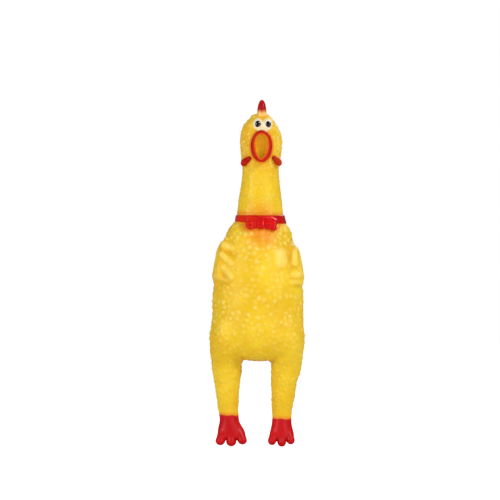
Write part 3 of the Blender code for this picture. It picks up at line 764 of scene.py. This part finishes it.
PIECES = {
    "skin_trunk": ("ride", "trunk", None, None, None, ["trunk_skin", "wing_left", "wing_right"]),
    "skin_belly": ("press", "trunk", "belly", BELLY_Y, -18.6, ["belly_panel"]),
    "skin_back": ("press", "trunk", "back", BACK_Y, 16.6, ["back_panel", "tail_nub"]),
    "skin_neck_lower": ("blend", "trunk", "neck_lower", 113.6, 122.2, ["neck_lower_skin"]),
    "skin_neck_upper": ("blend", "neck_lower", "neck_upper", 123.0, 131.0, ["neck_upper_skin"]),
    "skin_head": ("blend", "neck_upper", "head", 131.8, 140.2, ["head_skin"]),
}
for tag in ("left", "right"):
    PIECES["skin_thigh_" + tag] = ("blend", "trunk", "thigh_" + tag, 41.2, 31.7, ["thigh_" + tag])
    PIECES["skin_shank_" + tag] = ("blend", "thigh_" + tag, "shank_" + tag, 30.7, 21.1, ["shank_" + tag])
    PIECES["skin_foot_" + tag] = ("blend", "shank_" + tag, "foot_" + tag, 20.1, 11.0, ["foot_" + tag])

for n, (how, a, b, h0, h1, nodes) in PIECES.items():
    q = quads[part == names[n]]
    used, inv = np.unique(q, return_inverse=True)
    ob = make(n, co[used], inv.reshape(q.shape), SKIN,
              {k: v[used] for k, v in ATTRS.items()}, normal[used])
    if how == "ride":
        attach(ob, a)
    elif how == "press":
        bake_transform(ob)
    else:
        z0, z1 = P((0, 0, h0))[2], P((0, 0, h1))[2]
        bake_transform(ob)
    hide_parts(*nodes)
print("skin", len(co), "points,", len(centres), "pimples")


# -------------------------------------------------------- face, comb, wattles
def field_piece(name, lo, hi, step, build, mat, body, nodes, attrs=None, rounds=4):
    f = Field(lo, hi, step)
    build(f)
    c, q = f.mesh()
    c = relax(c, q, rounds, 0.45)
    n = vertex_normals(c, q)
    # painted shade in the hollows; of these pieces only the bow's material reads it
    masks = {"hollow_shade": hollows(c, q, n, 3, 9.0)}
    masks.update(attrs(c) if attrs else {})
    ob = make(name, c, q, mat, masks, n)
    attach(ob, body)
    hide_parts(*nodes)
    return ob


def build_comb(f):
    for cy, top, ry, rx in ((-2.6, 169.9, 2.7, 2.38), (1.3, 168.0, 2.2, 2.2), (4.8, 165.6, 2.1, 2.0)):
        f.add(*ball(0.1, cy, 160.6, rx, ry, top - 160.6, p=2.35), k=0.45)
    f.add(*ball(0.05, 1.2, 160.2, 2.75, 5.9, 4.6), k=0.9)


field_piece("comb_fin", (-4, -8, 154), (4, 9.5, 172), 0.22, build_comb, COMB, "head", ["comb"],
            lambda c: {"fade": 1 - ramp(c[:, 2] + 0.25 * np.sin(c[:, 0] * 2.1 + c[:, 1]), 162.6, 165.4)})


def build_wattle(side):
    x0, x1, up = (5.6, 8.0, 0.0) if side < 0 else (6.6, 8.75, 0.5)

    def build(f):
        for i in range(8):
            t = i / 7
            f.add(*ball(side * (x0 + (x1 - x0) * t), -9.3 + 2.6 * t, 141.0 + up - 2.0 * t,
                        1.05 + 0.60 * t, 1.0 + 0.45 * t, 1.15 + 0.80 * t, tilt=0.55 * side), k=0.35)
    return build


for side, tag in ((-1, "left"), (1, "right")):
    lo = (min(side * 4, side * 12), -12, 134)
    hi = (max(side * 4, side * 12), -1, 144.5)
    field_piece("ear_wattle_" + tag, lo, hi, 0.22, build_wattle(side), WATTLE, "head", ["wattle_" + tag],
                lambda c, s=side: {"fade": 0.18 * (s > 0) * np.ones(len(c))})


def lip():
    """Ring round the mouth: its outer edge is an ellipse, its inner edge follows
    the opening, so it is broadest low at the sides; front face rounded."""
    n, m = 168, 26
    # inner edge as a closed loop, sampled by height, top to bottom and back
    steps = np.cos(np.linspace(0, math.pi, 400))
    heights = np.where(steps > 0, 5.65, 6.0) * steps
    right = np.stack([opening_half(heights), heights], axis=1)
    loop = np.concatenate([right, (right * (-1, 1))[::-1][1:-1]])
    angle = np.unwrap(np.arctan2(loop[:, 0], loop[:, 1]))
    verts, fade = [], []
    for i in range(n):
        t = 2 * math.pi * i / n
        ex_o, ez_o = LIP_W * math.sin(t), LIP_H * math.cos(t)
        at = math.atan2(ex_o, ez_o) % (2 * math.pi)
        j = int(np.argmin(np.abs((angle % (2 * math.pi)) - at)))
        ex_i, ez_i = loop[j]
        wide = math.hypot(ex_o - ex_i, ez_o - ez_i)
        for k in range(m):
            a = 2 * math.pi * k / m
            c = 0.5 + 0.5 * math.copysign(abs(math.cos(a)) ** 0.85, math.cos(a))      # 0 inner, 1 outer
            ex, ez = ex_i + (ex_o - ex_i) * c, ez_i + (ez_o - ez_i) * c
            rise = math.sin(a)
            lift = (0.95 + 0.22 * wide) * rise if rise > 0 else 1.1 * rise
            verts.append((MOUTH_X + ex, -14.1 - 0.12 * ez - lift + CORNER * (ex / LIP_W) ** 2, MOUTH_H + ez))
            fade.append(max(0.0, (0.32 - c) / 0.32) ** 0.5 if rise > -0.4 else 1.0)
    faces = np.array([(i * m + j, i * m + (j + 1) % m, ((i + 1) % n) * m + (j + 1) % m, ((i + 1) % n) * m + j)
                      for i in range(n) for j in range(m)])
    verts = relax(np.array(verts), faces, 4, 0.4)
    nm = vertex_normals(verts, faces)
    centre = verts.reshape(n, m, 3).mean(axis=1).repeat(m, axis=0)
    if np.einsum('ij,ij->i', nm, verts - centre).mean() < 0:
        faces = faces[:, ::-1]
        nm = -nm
    ob = make("lip_ring", verts, faces, LIP, {"fade": fade}, nm)
    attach(ob, "head")
    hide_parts("mouth_rim")


lip()


def dome_piece(name, centre, radii, mat, node, y_cut, segs=40, rings=24, dent=0.0):
    """Glossy bead, rounder in front than an ellipsoid, with a soft rim."""
    cx, cy, ch = centre
    verts, faces = [], []
    for i in range(rings + 1):
        a = math.pi * i / rings
        for j in range(segs):
            b = 2 * math.pi * j / segs
            s, c = math.sin(a), math.cos(a)
            s = s ** 0.9
            verts.append((cx + radii[0] * s * math.cos(b), cy - radii[1] * c, ch + radii[2] * s * math.sin(b)))
    for i in range(rings):
        for j in range(segs):
            faces.append((i * segs + j, i * segs + (j + 1) % segs, (i + 1) * segs + (j + 1) % segs, (i + 1) * segs + j))
    bm = bmesh.new()
    vs = [bm.verts.new(Vector(P(v))) for v in verts]
    for f in faces:
        bm.faces.new([vs[k] for k in f])
    bmesh.ops.remove_doubles(bm, verts=bm.verts, dist=1e-7)
    bmesh.ops.recalc_face_normals(bm, faces=bm.faces)
    me = bpy.data.meshes.new(name)
    bm.to_mesh(me)
    bm.free()
    me.shade_smooth()
    me.materials.append(mat)
    ob = bpy.data.objects.new(name, me)
    scene.collection.objects.link(ob)
    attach(ob, "head")
    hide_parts(node)
    return ob


for side, tag in ((-1, "left"), (1, "right")):
    dome_piece("eyeball_" + tag, (side * 2.4 + 0.62, -7.8, 157.75), (1.98, 2.2, 2.55), WHITE, "eye_white_" + tag, 0)
    dome_piece("pupil_bead_" + tag, (side * 2.5 + 0.85, -9.45, 157.85), (1.42, 0.76, 1.72 if side < 0 else 1.55), BLACK, "pupil_" + tag, 0)


# ------------------------------------------------------------- collar and bow
def collar():
    """Flat band with rounded edges, following the neck, a little uneven."""
    n = 144
    prof = [(-0.95, 0.02), (0.05, 0.0), (0.36, 0.04), (0.48, 0.13), (0.52, 0.34), (0.50, 0.66),
            (0.48, 0.88), (0.36, 0.97), (0.05, 1.0), (-0.55, 0.95)]
    verts = []
    for i in range(n):
        t = 2 * math.pi * i / n
        for dr, up in prof:
            r = 11.58 + dr + 0.05 * math.sin(3 * t + 1) + 0.03 * math.sin(7 * t) + (0.75 + 0.35 * math.cos(t)) * (1 - up) ** 1.5
            px = r * math.cos(t) + 0.3
            lower, upper = 109.6 - 0.010 * px, 113.4 + 0.020 * px
            verts.append((px, r * math.sin(t), lower + (upper - lower) * up + 0.06 * math.sin(t * 2 + 0.5)))
    m = len(prof)
    faces = np.array([(i * m + j, i * m + (j + 1) % m, ((i + 1) % n) * m + (j + 1) % m, ((i + 1) % n) * m + j)
                      for i in range(n) for j in range(m)])
    verts = np.array(verts)
    nm = vertex_normals(verts, faces)
    centre = verts.reshape(n, m, 3).mean(axis=1).repeat(m, axis=0)
    if np.einsum('ij,ij->i', nm, verts - centre).mean() < 0:
        faces = faces[:, ::-1]
    bm = bmesh.new()
    vs = [bm.verts.new(Vector(P(v))) for v in verts]
    for f in faces:
        bm.faces.new([vs[k] for k in f])
    me = bpy.data.meshes.new("collar_ribbon")
    bm.to_mesh(me)
    bm.free()
    me.shade_smooth()
    me.set_sharp_from_angle(angle=math.radians(50))
    me.materials.append(RIBBON)
    ob = bpy.data.objects.new("collar_ribbon", me)
    scene.collection.objects.link(ob)
    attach(ob, "trunk")
    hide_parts("collar_band")


collar()


def build_bow(f):
    def bead(cx, cy, *size, **how):
        return ball(cx, cy + 0.75, *size, **how)

    def bar(x0, h0, r0, x1, h1, r1, y0, y1, flat=0.9, k=0.3, n=9):
        for i in range(n):
            t = i / (n - 1)
            r = r0 + (r1 - r0) * t
            f.add(*bead(x0 + (x1 - x0) * t, y0 + (y1 - y0) * t, h0 + (h1 - h0) * t, r, r * flat, r), k=k)
    # filled behind, down to the collar
    for cx, cy, ch, rx, rh in ((-3.9, -12.5, 109.7, 3.0, 2.2), (0.8, -13.0, 109.8, 2.6, 2.6), (4.9, -12.6, 109.6, 3.1, 2.3)):
        f.add(*bead(cx, cy, ch, rx, 1.7, rh, p=2.6), k=0.3)
    # left loop: a roll with an open eye low on the left
    for i in range(20):
        a = 2 * math.pi * i / 20
        f.add(*bead(-4.5 + 1.35 * math.cos(a), -14.5 - 0.35 * math.sin(a), 108.3 + 1.25 * math.sin(a), 0.82, 0.9, 0.82), k=0.25)
    f.add(*bead(-4.5, -13.6, 108.3, 1.7, 0.9, 1.6), k=0.2)
    f.add(*bead(-2.2, -13.9, 108.9, 1.9, 1.1, 2.1), k=0.5)
    bar(-5.9, 109.2, 0.9, -2.0, 109.8, 0.8, -14.3, -14.6)
    bar(-5.6, 111.4, 1.05, -1.6, 111.2, 0.9, -14.2, -14.9)
    f.add(*bead(-3.6, -13.7, 109.9, 2.5, 1.1, 2.3), k=0.4)
    # knot, a wrapped band
    f.add(*bead(0.8, -14.2, 109.7, 2.3, 1.75, 3.2, p=2.8), k=0.25)
    bar(-1.2, 111.2, 0.70, 1.0, 112.3, 0.70, -15.4, -15.3, k=0.3)
    bar(1.0, 112.3, 0.70, 3.6, 112.4, 0.60, -15.3, -14.9, k=0.3)
    bar(-0.7, 108.2, 0.55, 2.4, 107.6, 0.55, -15.5, -15.4, k=0.3)
    # right loop: broader, squarer, drawn down at its outer corner
    f.add(*bead(5.3, -13.9, 109.3, 3.0, 1.35, 2.9, tilt=-0.12, p=3.0), k=0.3)
    bar(2.8, 112.2, 0.85, 5.4, 112.2, 0.80, -14.9, -14.4)
    bar(5.4, 112.2, 0.80, 8.1, 111.0, 0.80, -14.4, -13.9)
    bar(3.0, 109.6, 0.85, 7.7, 109.0, 0.95, -15.1, -14.4)
    bar(3.2, 107.9, 0.7, 7.4, 107.0, 1.15, -14.6, -14.1)
    for cx, ch, tall in ((-1.45, 110.0, 2.6), (2.75, 109.8, 2.6)):
        f.cut(*bead(cx, -16.6, ch, 0.28, 1.25, tall), k=0.35)


field_piece("bow", (-9, -17.0, 104.5), (10, -9.2, 115), 0.17, build_bow, RIBBON, "trunk",
            ["bow_loop_left", "bow_loop_right", "bow_knot"], rounds=2)

# squeaker pieces keep their own CAD shapes, inside the neck root
for n in ("squeaker_housing", "squeaker_reed_bed", "squeaker_clamp_ring", "squeaker_reed"):
    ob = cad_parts[n]
    ob.data.materials.clear()
    ob.data.materials.append(PLASTIC)

# ------------------------------------------------------------ floor and light
bm = bmesh.new()
bmesh.ops.create_circle(bm, cap_ends=True, segments=64, radius=3.0)
me = bpy.data.meshes.new("floor")
bm.to_mesh(me)
bm.free()
floor = bpy.data.objects.new("floor", me)
floor.location = (0, 0, TOE - 0.0002)
scene.collection.objects.link(floor)
m, nt, bsdf = new_material("pale_floor")
vec = place_vector(nt, False)
path = nt.nodes.new('ShaderNodeLightPath')
pale_grey = mix(nt, noise(nt, vec, 3.0), (0.93, 0.93, 0.93), (0.95, 0.95, 0.95))
nt.links.new(mix(nt, path.outputs['Is Glossy Ray'], pale_grey, (0.2, 0.2, 0.2)), bsdf.inputs['Base Color'])
bsdf.inputs['Roughness'].default_value = 0.9
bsdf.inputs['Specular IOR Level'].default_value = 0.1
bsdf.inputs['Emission Color'].default_value = (1, 1, 1, 1)
nt.links.new(math_node(nt, 'MULTIPLY', path.outputs['Is Camera Ray'], 0.6), bsdf.inputs['Emission Strength'])
me.materials.append(m)
floor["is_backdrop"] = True

world = bpy.data.worlds.new("studio")
scene.world = world
world.use_nodes = True
wt = world.node_tree
back = wt.nodes["Background"]
back.inputs[0].default_value = (1, 1, 1, 1)
path = wt.nodes.new('ShaderNodeLightPath')
dim = spread(wt, path.outputs['Is Glossy Ray'], 0.0, 1.0, 0.48, 0.10)
seen = math_node(wt, 'MULTIPLY', path.outputs['Is Camera Ray'], 1.0)
wt.links.new(math_node(wt, 'MAXIMUM', dim, seen), back.inputs[1])


def area(name, loc, size, watts, aim=(0, 0, 0.0), colour=(1, 1, 1)):
    light = bpy.data.lights.new(name, 'AREA')
    light.shape = 'DISK'
    light.size = size
    light.energy = watts
    light.color = colour
    ob = bpy.data.objects.new(name, light)
    ob.location = loc
    ob.rotation_euler = (Vector(aim) - Vector(loc)).to_track_quat('-Z', 'Y').to_euler()
    scene.collection.objects.link(ob)
    return ob


area("key", (0.47, -0.53, 0.49), 0.16, 2.6)
area("fill", (-0.62, -0.54, 0.16), 0.22, 1.9)
area("low", (0.42, -0.72, -0.06), 0.3, 1.0)
area("rim", (0.3, 0.55, 0.5), 0.4, 1.2)
scene.view_settings.view_transform = 'Standard'

# --------------------------------------------------------------------- camera
cam = bpy.data.cameras.new("camera")
cam.lens = 400
cam.sensor_width = 36
ob = bpy.data.objects.new("camera", cam)
half = math.atan(cam.sensor_width / 2 / cam.lens)
dist = 0.1225 / math.tan(half)
ROLL = math.radians(1.15)
centre_h = 96.3
ob.matrix_world = Matrix.Translation((-0.0043, -dist, TOE + centre_h * 0.001)) @ \
    Matrix.Rotation(math.radians(90), 4, 'X') @ Matrix.Rotation(ROLL, 4, 'Z')
cam.clip_start, cam.clip_end = 0.05, 20
scene.collection.objects.link(ob)
scene.camera = ob

lo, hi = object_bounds()
